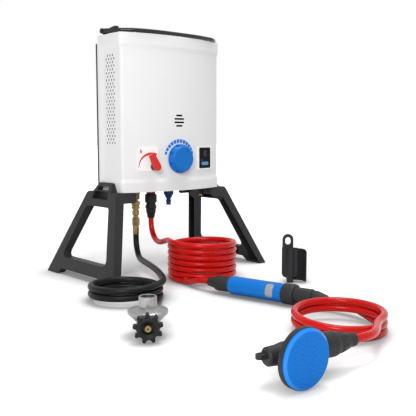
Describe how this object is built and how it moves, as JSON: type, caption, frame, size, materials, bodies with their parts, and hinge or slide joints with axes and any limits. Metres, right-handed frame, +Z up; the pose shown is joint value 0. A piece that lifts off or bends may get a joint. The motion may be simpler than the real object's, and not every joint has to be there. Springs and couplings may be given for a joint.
{
  "type": "portable propane water heater",
  "caption": "Portable outdoor gas water heater on two A-frame legs, with carrying handle, gas hose and regulator, and a hand shower on a coiled hose with its holder.",
  "frame": {"origin": "on the floor, midway between the legs, in line with the middle of the case's width", "axes": "+X to the heater's right as its front is faced, +Y towards its back, +Z up"},
  "size_m": [0.6941, 0.9868, 0.6095],
  "materials": {
    "white_enamel": "satin white powder coat",
    "graphite_enamel": "matt dark grey powder coat",
    "zinc_steel": "zinc plated sheet",
    "copper": "bare copper",
    "stainless": "brushed",
    "brass": "machined brass",
    "cast_valve": "die cast",
    "black_plastic": "matt black",
    "leg_plastic": "fine textured dark grey nylon",
    "white_plastic": "satin white",
    "red_plastic": "satin red",
    "blue_plastic": "satin blue",
    "navy_plastic": "satin dark blue",
    "pale_blue_plastic": "satin pale blue",
    "black_glass": "polished black",
    "handle_paint": "gloss black",
    "battery_wrap": "plain wrap",
    "gas_hose_rubber": "matt black rubber",
    "red_hose": "glossy red",
    "grey_metal": "satin cast zinc",
    "clear_grey_plastic": "satin silver grey"
  },
  "bodies": {
    "heater": {"front_cover": "white_enamel", "back_cover": "graphite_enamel", "top_plate": "zinc_steel", "base_plate": "zinc_steel", "case_screws": "zinc_steel", "flue_hood": "stainless", "heat_exchanger": "copper", "combustion_chamber": "stainless", "burner": "stainless", "gas_valve": "cast_valve", "water_valve": "brass", "water_pipes": "copper", "battery_box": "black_plastic", "battery_cells": "battery_wrap", "ignition_module": "black_plastic", "display_bezel": "white_plastic", "display_window": "black_glass", "lever_plate": "white_plastic", "flame_window": "zinc_steel", "gas_inlet": "brass", "hot_outlet": "red_plastic", "cold_inlet": "navy_plastic", "leg_left": "leg_plastic", "leg_right": "leg_plastic", "leg_screws": "brass", "handle_brackets": "black_plastic", "gas_coupler_body": "brass", "gas_hose_ferrule": "brass", "gas_hose_drop": "gas_hose_rubber", "gas_hose_coil": "gas_hose_rubber", "gas_hose_tail": "gas_hose_rubber", "regulator_body": "grey_metal", "regulator_cap": "stainless", "regulator_nipple": "brass", "outlet_coupler_core": "black_plastic", "shower_hose_drop": "red_hose", "shower_hose_coil": "red_hose", "shower_hose_lead": "red_hose", "grip_inlet_coupler": "black_plastic", "grip_sleeve": "blue_plastic", "grip_outlet_coupler": "black_plastic", "shower_hose_feed": "red_hose", "shower_hose_loop": "red_hose", "shower_hose_tail": "red_hose", "head_coupler": "black_plastic", "shower_head_body": "black_plastic", "shower_face": "blue_plastic"},
    "handle": {"handle_bar": "handle_paint", "handle_arms": "black_plastic"},
    "lever": {"gas_lever": "red_plastic", "lever_spindle": "black_plastic"},
    "knob": {"flow_knob": "blue_plastic", "knob_spindle": "brass"},
    "button": {"mode_button": "pale_blue_plastic"},
    "battery_hatch": {"battery_door": "black_plastic"},
    "handwheel": {"regulator_handwheel": "black_plastic"},
    "trigger": {"grip_trigger": "clear_grey_plastic"},
    "shower_collar": {"outlet_coupler_collar": "black_plastic"},
    "gas_sleeve": {"gas_coupler_sleeve": "brass"},
    "holder": {"shower_holder": "black_plastic"}
  },
  "joints": [
    {"name": "handle_raise", "type": "hinge", "parent": "heater", "child": "handle", "pos_m": [0, 0.022, 0.6025], "axis": [-1, 0, 0], "range_deg": [0, 95]},
    {"name": "lever_turn", "type": "hinge", "parent": "heater", "child": "lever", "pos_m": [-0.0812, -0.09, 0.2717], "axis": [0, -1, 0], "range_deg": [-54, 66]},
    {"name": "knob_turn", "type": "hinge", "parent": "heater", "child": "knob", "pos_m": [0, -0.09, 0.2895], "axis": [0, -1, 0], "range_deg": [-48, 102]},
    {"name": "button_press", "type": "slide", "parent": "heater", "child": "button", "axis": [-0.2163, 0.9763, 0], "range_m": [0, 0.0008], "stiffness_N_per_m": 600},
    {"name": "battery_hatch_open", "type": "hinge", "parent": "heater", "child": "battery_hatch", "pos_m": [0.078, 0.0175, 0.2067], "axis": [1, 0, 0], "range_deg": [0, 100]},
    {"name": "handwheel_spin", "type": "hinge", "parent": "heater", "child": "handwheel", "pos_m": [-0.41925, -0.51322, 0.0264], "axis": [-0.5934, -0.8049, 0], "continuous": true},
    {"name": "trigger_press", "type": "slide", "parent": "heater", "child": "trigger", "axis": [0.9285, 0.2058, -0.309], "range_m": [0, 0.002], "stiffness_N_per_m": 900},
    {"name": "shower_collar_release", "type": "slide", "parent": "heater", "child": "shower_collar", "axis": [0, 0, -1], "range_m": [0, 0.003], "stiffness_N_per_m": 800},
    {"name": "gas_sleeve_release", "type": "slide", "parent": "heater", "child": "gas_sleeve", "axis": [0, 0, 1], "range_m": [0, 0.004], "stiffness_N_per_m": 900},
    {"name": "holder_lift", "type": "slide", "parent": "heater", "child": "holder", "axis": [0, 0, 1], "range_m": [0, 0.15]}
  ]
}
